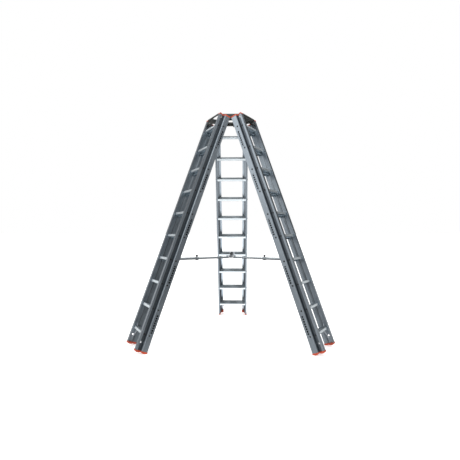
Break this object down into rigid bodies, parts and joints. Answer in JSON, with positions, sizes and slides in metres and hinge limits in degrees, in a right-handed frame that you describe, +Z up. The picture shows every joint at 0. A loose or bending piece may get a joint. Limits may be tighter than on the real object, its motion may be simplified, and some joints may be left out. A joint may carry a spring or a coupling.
{
  "type": "three-sided tread ladder",
  "caption": "Three equal tread ladders hinged round a triangular hub, held apart by a folding three-armed telescopic spreader with clamp knobs.",
  "frame": {"origin": "middle of the bounding box on the floor, with the ladder standing open", "axes": "+Z up, +Y towards the foot of the back ladder, +X to the right seen from the front"},
  "size_m": [2.1242, 1.8396, 2.4265],
  "materials": {
    "stile_aluminium": "brushed extrusion, satin",
    "tread_aluminium": "ribbed extrusion, satin",
    "bolt_dark": "blackened",
    "cap_orange": "moulded, fine grain",
    "brace_metal": "zinc plated",
    "hub_black": "powder coat",
    "screw_zinc": "zinc plated",
    "bush_nylon": "natural nylon",
    "tube_aluminium": "drawn tube, satin",
    "knob_black": "moulded"
  },
  "bodies": {
    "hub": {"hub_plate": "hub_black", "hub_bracket_back": "hub_black", "hub_bracket_left": "hub_black", "hub_bracket_right": "hub_black", "hub_bracket_screws": "screw_zinc", "hinge_bolts_back": "screw_zinc", "hinge_bolts_left": "screw_zinc", "hinge_bolts_right": "screw_zinc"},
    "ladder_back": {"back_stile_left": "stile_aluminium", "back_stile_right": "stile_aluminium", "back_treads": "tread_aluminium", "back_tread_bolts": "bolt_dark", "back_top_caps": "cap_orange", "back_feet": "cap_orange", "back_braces": "brace_metal", "back_hinge_bushes": "bush_nylon", "back_arm_bracket": "brace_metal", "back_arm_pivots": "screw_zinc"},
    "arm_back_outer": {"back_outer_tube": "tube_aluminium", "back_clamp": "tube_aluminium"},
    "arm_back_knob": {"back_clamp_knob": "knob_black"},
    "arm_back_inner": {"back_inner_tube": "tube_aluminium"},
    "ladder_left": {"left_stile_left": "stile_aluminium", "left_stile_right": "stile_aluminium", "left_treads": "tread_aluminium", "left_tread_bolts": "bolt_dark", "left_top_caps": "cap_orange", "left_feet": "cap_orange", "left_braces": "brace_metal", "left_hinge_bushes": "bush_nylon", "left_arm_bracket": "brace_metal", "left_arm_pivots": "screw_zinc"},
    "arm_left_outer": {"left_outer_tube": "tube_aluminium", "left_clamp": "tube_aluminium"},
    "arm_left_knob": {"left_clamp_knob": "knob_black"},
    "arm_left_inner": {"left_inner_tube": "tube_aluminium"},
    "ladder_right": {"right_stile_left": "stile_aluminium", "right_stile_right": "stile_aluminium", "right_treads": "tread_aluminium", "right_tread_bolts": "bolt_dark", "right_top_caps": "cap_orange", "right_feet": "cap_orange", "right_braces": "brace_metal", "right_hinge_bushes": "bush_nylon", "right_arm_bracket": "brace_metal", "right_arm_pivots": "screw_zinc"},
    "arm_right_outer": {"right_outer_tube": "tube_aluminium", "right_clamp": "tube_aluminium"},
    "arm_right_knob": {"right_clamp_knob": "knob_black"},
    "arm_right_inner": {"right_inner_tube": "tube_aluminium"},
    "centre": {"centre_plate": "brace_metal", "centre_pin": "screw_zinc", "centre_side_screws": "screw_zinc", "centre_knob_stem": "screw_zinc", "centre_knob": "knob_black"}
  },
  "joints": [
    {"name": "fold_back", "type": "hinge", "parent": "hub", "child": "ladder_back", "pos_m": [0, 0.00747, 2.38404], "axis": [-1, 0, 0], "range_deg": [0, 20.7]},
    {"name": "arm_fold_back", "type": "hinge", "parent": "ladder_back", "child": "arm_back_outer", "pos_m": [0, 0.42959, 0.87651], "axis": [-1, 0, 0], "range_deg": [0, 60.03]},
    {"name": "arm_slide_back", "type": "slide", "parent": "arm_back_outer", "child": "arm_back_inner", "axis": [0, 1, 0], "range_m": [0, 0.351]},
    {"name": "clamp_turn_back", "type": "hinge", "parent": "arm_back_outer", "child": "arm_back_knob", "pos_m": [0, 0.21243, 0.87651], "axis": [0, 0, 1], "range_deg": [0, 360]},
    {"name": "fold_left", "type": "hinge", "parent": "hub", "child": "ladder_left", "pos_m": [-0.18449, -0.31209, 2.38404], "axis": [0.5, -0.866, 0], "range_deg": [0, 20.7]},
    {"name": "arm_fold_left", "type": "hinge", "parent": "ladder_left", "child": "arm_left_outer", "pos_m": [-0.55006, -0.52315, 0.87651], "axis": [0.5, -0.866, 0], "range_deg": [0, 60.03]},
    {"name": "arm_slide_left", "type": "slide", "parent": "arm_left_outer", "child": "arm_left_inner", "axis": [-0.866, -0.5, 0], "range_m": [0, 0.351]},
    {"name": "clamp_turn_left", "type": "hinge", "parent": "arm_left_outer", "child": "arm_left_knob", "pos_m": [-0.362, -0.41457, 0.87651], "axis": [0, 0, 1], "range_deg": [0, 360]},
    {"name": "fold_right", "type": "hinge", "parent": "hub", "child": "ladder_right", "pos_m": [0.18449, -0.31209, 2.38404], "axis": [0.5, 0.866, 0], "range_deg": [0, 20.7]},
    {"name": "arm_fold_right", "type": "hinge", "parent": "ladder_right", "child": "arm_right_outer", "pos_m": [0.55006, -0.52315, 0.87651], "axis": [0.5, 0.866, 0], "range_deg": [0, 60.03]},
    {"name": "arm_slide_right", "type": "slide", "parent": "arm_right_outer", "child": "arm_right_inner", "axis": [0.866, -0.5, 0], "range_m": [0, 0.351]},
    {"name": "clamp_turn_right", "type": "hinge", "parent": "arm_right_outer", "child": "arm_right_knob", "pos_m": [0.362, -0.41457, 0.87651], "axis": [0, 0, 1], "range_deg": [0, 360]},
    {"name": "centre_level", "type": "hinge", "parent": "arm_back_inner", "child": "centre", "pos_m": [0, -0.17557, 0.87651], "axis": [-1, 0, 0], "range_deg": [-80.73, 0]}
  ],
  "couplings": [
    {"joint": "arm_fold_back", "follows": "fold_back", "ratio": 2.9},
    {"joint": "arm_slide_back", "follows": "fold_back", "m_per_rad": 0.97154},
    {"joint": "fold_left", "follows": "fold_back", "ratio": 1},
    {"joint": "arm_fold_left", "follows": "fold_back", "ratio": 2.9},
    {"joint": "arm_slide_left", "follows": "fold_back", "m_per_rad": 0.97154},
    {"joint": "fold_right", "follows": "fold_back", "ratio": 1},
    {"joint": "arm_fold_right", "follows": "fold_back", "ratio": 2.9},
    {"joint": "arm_slide_right", "follows": "fold_back", "m_per_rad": 0.97154},
    {"joint": "centre_level", "follows": "fold_back", "ratio": -3.9}
  ]
}
